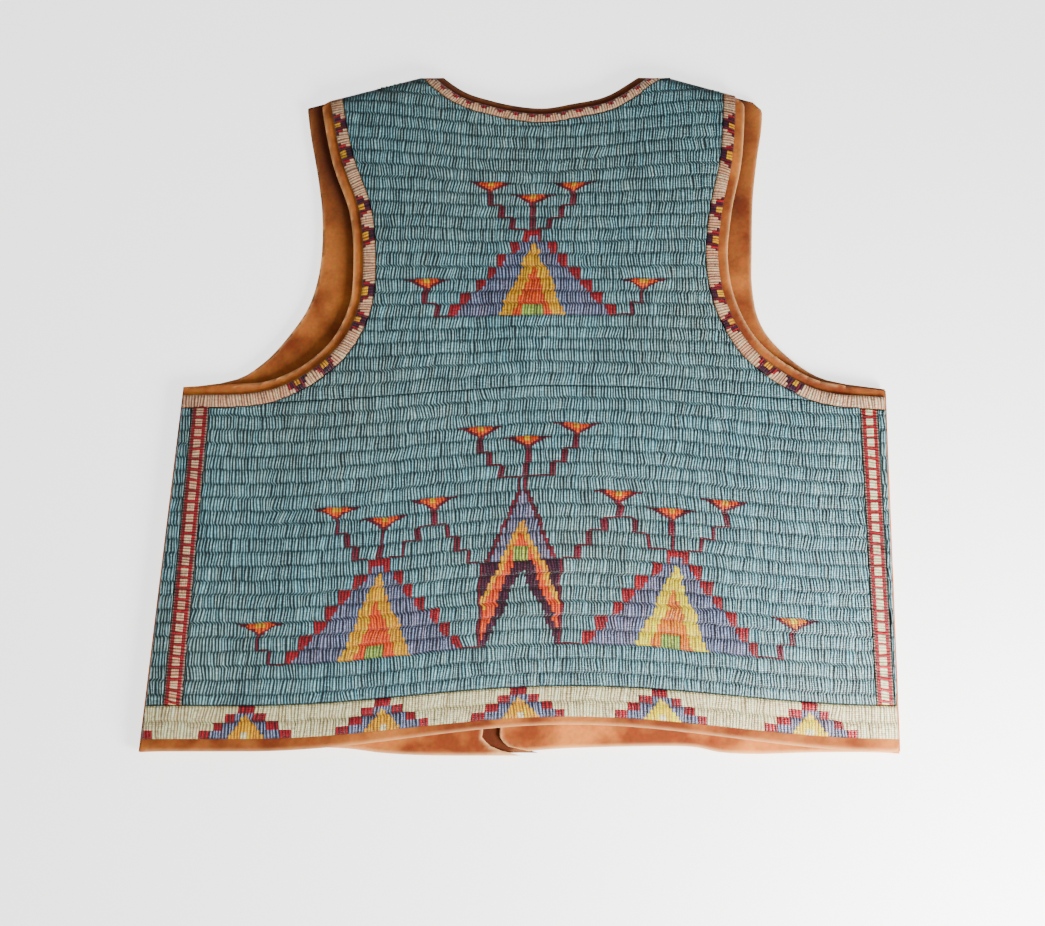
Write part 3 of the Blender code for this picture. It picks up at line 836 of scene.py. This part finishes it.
def near_curve(points, x, y, reach):
    """1 on a curve, easing to 0 at the reach from it."""
    curve = smooth_curve(points)[::3]
    away = np.full(len(x), 1e6)
    for cx, cy in curve:
        away = np.minimum(away, np.hypot(x - cx, y - cy))
    return 1 - smoothstep(0, reach, away)


# Points along each side of a cut, enough for one every 0.6 mm
CUT_POINTS = 900


def cut_line(ground, levels):
    """Points close together round the edge of a panel, in millimetres."""
    across = np.linspace(levels[0], levels[-1], CUT_POINTS)
    low, high = kept_ends(ground, across)
    columns = np.linspace(*ground.ends, CUT_POINTS)
    heads = kept_head(ground, columns, levels[0], levels[-1])
    under = (columns > np.interp(heads, across, low)) & (columns < np.interp(heads, across, high))
    below = across < np.interp(low, columns, heads)
    beyond = across < np.interp(high, columns, heads)
    foot = (columns > low[0]) & (columns < high[0])
    sides = (
        (low[below], across[below]),
        (high[beyond], across[beyond]),
        (columns[under], heads[under]),
        (columns[foot], np.full(foot.sum(), levels[0])),
    )
    return [spot for side in sides for spot in zip(*ground.place(*side))]


def hide_panel(name, ground, cell, thick, darkening):
    """A hide panel as a soft sheet with two sides, paler along its cut edge."""
    start, end = ground.ends
    columns, rows = round((end - start) / cell), round(PANEL_LENGTH / cell)
    made = slab(name, columns, rows, 0)
    mesh = made.data
    flat = read_points(mesh)
    along = start + (flat[:, 0] + 1) / 2 * (end - start)
    across = np.round((flat[:, 1] + 1) / 2, 5)
    x, y, _edge = settle(ground, along, across, 0, 0)
    z = ground.floor(x, y) + thick * (flat[:, 2] > 0.5)
    mesh.vertices.foreach_set("co", (np.column_stack([x, y, z]) * MM).ravel())
    vertex, face, corners = read_corners(mesh)
    on_wall = np.abs(np.bincount(face, flat[vertex, 2]) / corners - 0.5) < 0.4
    away = np.full(len(x), 1e6)
    for edge_x, edge_y in cut_line(ground, np.unique(across)):
        away = np.minimum(away, np.hypot(x - edge_x, y - edge_y))
    sewn = np.min([distance_to(seam, x, y) for seam in SEAMS], axis=0) < SEAM_REACH
    # Painted shade on the fronts and on the strip behind the opening, and the back's darkening, kept as an
    # attribute
    darkened = darkening(x, y)
    near = np.where(sewn, SEAM_PALE, CUT_PALE) * np.maximum(0, 1 - away / PALE_REACH)
    pale_kept = 1 - DARKENED_PALE * darkened[vertex]
    pale = pale_kept * np.maximum(WALL_PALE * on_wall[face], near[vertex])
    for label, values in (("cut edge", pale), ("darkening", darkened[vertex])):
        attribute = mesh.attributes.new(label, "FLOAT", "CORNER")
        attribute.data.foreach_set("value", values)
    close_up(made, False)
    return made


def finish_piece(made, material, slot, *nodes):
    made.data.materials.clear()
    made.data.materials.append(material)
    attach(made, "root")
    if nodes:
        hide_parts(*nodes)
    return made


def back_beads_floor(x, y):
    """Underside of the beadwork on the back."""
    return drape(x, y) + HIDE + GAP


def level_floor(height):
    """The underside of a piece that lies level."""
    return lambda x, _y: np.full(np.shape(x), height)


def between(left, right):
    return lambda x, y: (x >= left(y)) & (x <= right(y))


def held_above(edge, limit):
    """An edge that runs straight up past a height."""
    return lambda y: edge(np.minimum(y, limit))


def rounded(edge, corner, inward):
    """An armhole's edge that stops changing above the shoulder's corner and turns in round it."""
    def at(y):
        past = np.clip((y - corner) / CORNER_ROUND + 1, 0, 1)
        return edge(np.minimum(y, corner)) + inward * CORNER_ROUND * (1 - np.sqrt(1 - past**2))

    return at


def front_ground(side, hole, opening, seam):
    """A front's ground, from its side seam and armhole to its opening."""
    if side == "left":
        return between(lambda y: np.maximum(left_side(y) + seam, hole(y)), opening)
    return between(opening, lambda y: np.minimum(right_side(y) - seam, hole(y)))


# Points of an armhole's curve on the stretch under the arm, its last three spans
UNDER_ARM_POINTS = 36


def under_arms():
    """Heights of the field's edge under each arm, where it runs nearly level."""
    return (
        height_at(smooth_curve(LEFT_ARMHOLE)[-UNDER_ARM_POINTS:]),
        height_at(smooth_curve(RIGHT_ARMHOLE)[-UNDER_ARM_POINTS:]),
    )


# The turquoise field's start, and its blocks along a lane
FIELD_START = -229.3
FIELD_BLOCKS = 56
# The armholes cut the field's lower piece outside these places. Between them it ends below this height.
UNDER_ARM = 150
LOWER_FIELD_LIMIT = 50.0


def make_field(beads):
    """The turquoise field in two pieces, below and above the armholes' lowest points."""
    half = BAND / 2 + GAP
    left_hole = held_above(across_at(smooth_curve(LEFT_ARMHOLE)), FIELD_CORNERS["left"])
    right_hole = held_above(across_at(smooth_curve(RIGHT_ARMHOLE)), FIELD_CORNERS["right"])
    neck = height_at(smooth_curve(NECK))
    shoulder = shoulders(SHOULDER_SEAM)
    top = lambda x: np.minimum(shoulder(x), neck(x))
    under_left, under_right = under_arms()
    right_top = lambda x: np.where(x > UNDER_ARM, under_right(x), LOWER_FIELD_LIMIT)
    low_top = lambda x: np.where(x < -UNDER_ARM, under_left(x), right_top(x))
    left = lambda y: np.maximum(left_band(y) + half, left_hole(y))
    right = lambda y: np.minimum(right_band(y) - half, right_hole(y))
    whole = (FIELD_START, FIELD_START + FIELD_BLOCKS * BLOCK)
    low = Ground(back_lanes, whole, between(left, right), back_beads_floor, low_top)
    high = Ground(back_lanes, whole, between(left, right), back_beads_floor, top)
    pieces = (
        ("back_beadwork_lower", 0, SPLIT_LANE, low, 11),
        ("back_beadwork_upper", SPLIT_LANE, LANES, high, 12),
    )
    made = []
    for name, first, last, ground, seed in pieces:
        part = beadwork(name, first, last, ground, field_pattern, seed)
        made.append(finish_piece(part, beads, "turquoise_beads", "back_beadwork"))
    return made


def make_border(beads):
    """The hem's border on the back, from seam to seam."""
    inside = between(lambda y: left_side(y) + SIDE_SEAM, lambda y: right_side(y) - SIDE_SEAM)
    head = lambda x: groove(0, x) - GAP / 2
    ground = Ground(back_lanes, (-BORDER_REACH, BORDER_REACH), inside, back_beads_floor, head)
    made = beadwork("back_hem_border_beads", -BORDER_LANES, 0, ground, border_pattern(BORDER_MOTIFS), 21)
    return [finish_piece(made, beads, "cream_beads", "back_hem_border")]


def make_strips(beads):
    """The narrow fields between the side bands and the side seams."""
    half = BAND / 2 + GAP
    left = between(lambda y: left_side(y) + SIDE_SEAM, lambda y: left_band(y) - half)
    right = between(lambda y: right_band(y) + half, lambda y: right_side(y) - SIDE_SEAM)
    under_left, under_right = under_arms()
    # Each strip: its side, start, blocks along a lane, ground, upper edge and seed
    strips = (
        ("left", -254.6, 3, left, under_left, 31),
        ("right", 245.6, 2, right, under_right, 32),
    )
    made = []
    for side, start, blocks, inside, under, seed in strips:
        head = lambda x, under=under: under(x) - GAP
        ground = Ground(back_lanes, (start, start + blocks * BLOCK), inside, back_beads_floor, head)
        strip = beadwork(f"back_side_strip_{side}_beads", 0, STRIP_LANES, ground, plain_field, seed)
        made.append(finish_piece(strip, beads, "turquoise_beads", f"back_side_strip_{side}"))
    return made


def along_curve(curve, near, far):
    """Places along a curve and across it, from near to far on its left."""
    steps = np.hypot(*np.diff(curve, axis=0).T)
    distance = np.concatenate([[0], np.cumsum(steps)])
    side = leftward(curve)

    def place(along, share):
        along, share = np.broadcast_arrays(along, share)
        offset = near + share * (far - near)
        x = np.interp(along, distance, curve[:, 0]) + offset * np.interp(along, distance, side[:, 0])
        y = np.interp(along, distance, curve[:, 1]) + offset * np.interp(along, distance, side[:, 1])
        return x, y

    return place, distance[-1]


def in_seams(x, y):
    """True on the ground that beads may cover, inside the side and shoulder seams."""
    clear = (x > left_side(y) + SIDE_SEAM) & (x < right_side(y) - SIDE_SEAM)
    return clear & (y < shoulders(SHOULDER_SEAM)(x))


def make_ribbons(beads):
    """Side bands and edgings: one lane each, that runs up a line or round an opening."""
    made = []
    # Each band: its side, middle line, top and the colour of its squares. The line is carried past its ends.
    bands = (("left", LEFT_BAND, -10.8, PEACH), ("right", RIGHT_BAND, -12.6, CREAM))
    for side, line, top, square in bands:
        curve = np.array(line, float)
        curve = curve[0] + (curve[1] - curve[0]) * np.linspace(-0.15, 1.15, 40)[:, None]
        place, length = along_curve(curve, -BAND / 2, BAND / 2)
        inside = lambda x, y, top=top: (y > groove(0, x) + GAP) & (y < top)
        ground = Ground(place, (0, length), inside, back_beads_floor)
        band = beadwork(
            f"back_band_{side}_beads", 0, 1, ground, band_pattern(square), 41, beads=BAND_BEADS, row=BAND_ROW
        )
        made.append(finish_piece(band, beads, "red_beads", f"back_band_{side}"))
    # Each edging: its piece, line, the distances from that line that it covers, pattern and seed
    edgings = (
        ("armhole_edging_left", LEFT_ARMHOLE, -GAP, -ARMHOLE_EDGING, edging_pattern(29.2, 268), 51),
        ("armhole_edging_right", RIGHT_ARMHOLE, GAP, ARMHOLE_EDGING, edging_pattern(35.5, 272), 52),
        ("neck_edging", NECK, GAP, NECK_EDGING, neck_pattern, 53),
    )
    for name, points, near, far, pattern, seed in edgings:
        place, length = along_curve(smooth_curve(points), near, far)
        ground = Ground(place, (0, length), in_seams, back_beads_floor)
        edging = beadwork(f"{name}_beads", 0, 1, ground, pattern, seed)
        # A lane that runs to the right of its line has its faces turned out again
        if far < near:
            edging.data.flip_normals()
        made.append(finish_piece(edging, beads, "cream_beads", name))
    return made


def panel_place(foot):
    """Places on a hide panel, from its hem at share 0 to above its shoulders at share 1."""
    def place(x, share):
        x, share = np.broadcast_arrays(x, share)
        low = foot(x)
        return x, low + share * (PANEL_HEAD - low)

    return place


# How far the darkening reaches from the back's neck and armholes, and the painted shade over the fronts from
# the left and right armhole
NECK_DARKENING = 60
ARM_DARKENING = 30
LEFT_FRONT_SHADE = 58
RIGHT_FRONT_SHADE = 46


def back_darkening(x, y):
    """The back's hide is darkest at the neck, and darkened less under the arms and at the hem."""
    neck = near_curve(NECK, x, y, NECK_DARKENING)
    arms = np.maximum(near_curve(LEFT_ARMHOLE, x, y, ARM_DARKENING), near_curve(RIGHT_ARMHOLE, x, y, ARM_DARKENING))
    hem = smoothstep(-215, -232, y)
    return np.maximum(np.maximum(0.98 * neck, 0.35 * arms), 0.32 * hem)


def front_painted_shade(x, y):
    """Painted shade on the fronts' insides beside the back's armholes, where the back's edge shades them:
    fading away from them, weaker on the right, where the light falls, and deeper towards the shoulders.
    """
    left = near_curve(LEFT_ARMHOLE, x, y, LEFT_FRONT_SHADE)
    right = near_curve(RIGHT_ARMHOLE, x, y, RIGHT_FRONT_SHADE)
    return np.maximum(left, 0.85 * right) * (0.75 + 0.6 * smoothstep(60, 180, y))


def make_hides(suede):
    """The back's hide and the two fronts', each cut in one."""
    reach = ARMHOLE_EDGING + ARMHOLE_MARGIN
    left_hole = rounded(across_at(beside(smooth_curve(LEFT_ARMHOLE), -reach)), BACK_CORNERS["left"], 1)
    right_hole = rounded(across_at(beside(smooth_curve(RIGHT_ARMHOLE), reach)), BACK_CORNERS["right"], -1)
    neck = height_at(beside(smooth_curve(NECK), NECK_EDGING + NECK_MARGIN))
    shoulder = shoulders(0)
    inside = between(
        lambda y: np.maximum(left_side(y), left_hole(y)), lambda y: np.minimum(right_side(y), right_hole(y))
    )
    head = lambda x: np.minimum(shoulder(x), neck(x))
    ground = Ground(panel_place(back_hem), (-PANEL_REACH, PANEL_REACH), inside, drape, head)
    panel = hide_panel("back_hide_suede", ground, HIDE_CELL, HIDE, back_darkening)
    back = finish_piece(panel, suede, "suede_hide", "back_hide")

    fronts = {}
    # Each front: its side, armhole, opening edge, hem, and its ends across
    tables = (
        ("left", LEFT_FRONT_ARMHOLE, LEFT_FRONT_EDGE, LEFT_FRONT_HEM, (-PANEL_REACH, 4)),
        ("right", RIGHT_FRONT_ARMHOLE, RIGHT_FRONT_EDGE, RIGHT_FRONT_HEM, (-19, PANEL_REACH)),
    )
    for side, armhole, edge, hem, ends in tables:
        corner = FRONT_CORNERS[side]
        hole = rounded(across_at(smooth_curve(armhole)), corner, 1 if side == "left" else -1)
        inside = front_ground(side, hole, across_at(edge), 0)
        foot = height_at(smooth_curve(hem))
        ground = Ground(panel_place(foot), ends, inside, level_floor(FRONT_HIDE_FLOOR), shoulder)
        panel = hide_panel(f"front_hide_{side}_suede", ground, HIDE_CELL, HIDE, front_painted_shade)
        fronts[side] = finish_piece(panel, suede, "suede_hide", f"front_hide_{side}")
    return back, fronts


def make_front_beadwork(beads):
    """The fronts' field and border, which face down."""
    shoulder = shoulders(SHOULDER_SEAM)
    floor = level_floor(FRONT_BEADS)
    # Each front: its side, armhole, opening edge, the way in from its armhole, start, blocks and seed
    tables = (
        ("left", LEFT_FRONT_ARMHOLE, LEFT_FRONT_EDGE, 1, -256, 31, 61),
        ("right", RIGHT_FRONT_ARMHOLE, RIGHT_FRONT_EDGE, -1, -9, 32, 63),
    )
    made = {}
    for side, armhole, edge, turn, start, blocks, seed in tables:
        ends = (start, start + blocks * BLOCK)
        hole = across_at(beside(smooth_curve(armhole), turn * FRONT_MARGIN))
        hole = held_above(hole, FRONT_BEADS_CORNER)
        edge_at, shift = across_at(edge), -turn * FRONT_MARGIN
        # Above the foot of the neck's V the edge slants, and the margin across it is wider
        opening = lambda y, edge_at=edge_at, shift=shift: edge_at(y) + shift * (1 + 0.12 * (y > NECK_FOOT))
        inside = front_ground(side, hole, opening, SIDE_SEAM)
        field = Ground(front_lanes, ends, inside, floor, shoulder, rise=-1)
        lanes = beadwork(f"front_beadwork_{side}_beads", 0, FRONT_LANES, field, plain_field, seed)
        finish_piece(lanes, beads, "turquoise_beads", f"front_beadwork_{side}")
        low_head = lambda x: np.full(np.shape(x), FRONT_BORDER_HEAD - 0.05)
        border = Ground(front_lanes, ends, inside, floor, low_head, rise=-1)
        name = f"front_hem_border_{side}_beads"
        edging = beadwork(name, -BORDER_LANES, 0, border, border_pattern(FRONT_BORDER_MOTIFS), seed + 1)
        finish_piece(edging, beads, "cream_beads", f"front_hem_border_{side}")
        made[side] = [lanes, edging]
    return made


def make_underlap(suede):
    """A strip of hide behind the opening of the fronts, which reaches under both of their edges, darkened
    all over with painted shade.
    """
    left, right = across_at(LEFT_FRONT_EDGE), across_at(RIGHT_FRONT_EDGE)
    inside = between(lambda y: left(y) - UNDERLAP, lambda y: right(y) + UNDERLAP)
    place = lambda x, share: np.broadcast_arrays(x, UNDERLAP_FOOT + UNDERLAP_LENGTH * share)
    ground = Ground(place, (-40, 24), inside, level_floor(UNDERLAP_FLOOR))
    # Painted shade: the strip is darkened all over
    darkening = lambda x, y: np.full(len(x), 0.9)
    made = hide_panel("opening_underlap", ground, UNDERLAP_CELL, UNDERLAP_HIDE, darkening)
    return finish_piece(made, suede, "suede_hide")


def make_studio():
    """A pale surface, low lamps from the hem's right that rake the rows, and a soft one from the left."""
    bpy.ops.object.select_all(action="DESELECT")
    bpy.ops.mesh.primitive_plane_add(size=6, location=(0, 0, -0.0005))
    floor = bpy.context.object
    floor.name = "floor"
    paper, tree, shader = new_material("Pale matt backdrop")
    grain = add(tree, "ShaderNodeTexNoise", links={"Scale": 40.0})
    low, high = (*linear("#f4f4f2"), 1), (*linear("#f8f8f7"), 1)
    tone = add(tree, "ShaderNodeMix", RGBA, {0: grain.outputs["Fac"], 6: low, 7: high})
    tree.links.new(tone.outputs[2], shader.inputs["Base Color"])
    shader.inputs["Roughness"].default_value = 0.9
    shader.inputs["Emission Color"].default_value = (1, 1, 1, 1)
    shader.inputs["Emission Strength"].default_value = 1.7
    floor.data.materials.append(paper)
    # Each lamp: its name, place in metres, power in watts and size in metres
    lamps = (
        ("key", (0.5, -0.6, 0.36), 15, 0.3),
        ("corner", (0.42, -0.4, 0.3), 4.2, 0.25),
        ("fill", (-0.7, -0.3, 1.5), 7, 1.4),
    )
    for name, spot, power, size in lamps:
        bpy.ops.object.light_add(type="AREA", location=spot)
        lamp = bpy.context.object
        lamp.name = name + " light"
        lamp.data.energy = power
        lamp.data.size = size
        away = math.atan2(math.hypot(spot[0], spot[1]), spot[2])
        turn = math.atan2(spot[1], spot[0])
        lamp.rotation_euler = (0, away, turn)
    world = bpy.data.worlds.new("Studio")
    bpy.context.scene.world = world
    world.use_nodes = True
    sky = world.node_tree.nodes["Background"]
    sky.inputs["Color"].default_value = (1, 1, 1, 1)
    sky.inputs["Strength"].default_value = 0.35


# The camera looks down from a little below the hem, in metres
CAMERA_AIM = (-0.002, -0.0515, 0.009)
CAMERA_DISTANCE = 0.9
CAMERA_TILT = math.radians(14.5)
CAMERA_LENS = 44.44


def make_camera():
    data = bpy.data.cameras.new("Camera")
    camera = bpy.data.objects.new("Camera", data)
    bpy.context.scene.collection.objects.link(camera)
    data.lens = CAMERA_LENS
    data.sensor_width = 36
    x, y, z = CAMERA_AIM
    back, up = CAMERA_DISTANCE * math.sin(CAMERA_TILT), CAMERA_DISTANCE * math.cos(CAMERA_TILT)
    camera.location = (x, y - back, z + up)
    camera.rotation_euler = (CAMERA_TILT, 0, 0)
    bpy.context.scene.camera = camera


def main():
    make_camera()
    beads = glass_seed_beads()
    suede = brushed_hide()
    back, fronts = make_hides(suede)
    on_back = make_field(beads) + make_border(beads) + make_strips(beads) + make_ribbons(beads)
    on_front = make_front_beadwork(beads)
    underlap = make_underlap(suede)
    make_studio()


main()
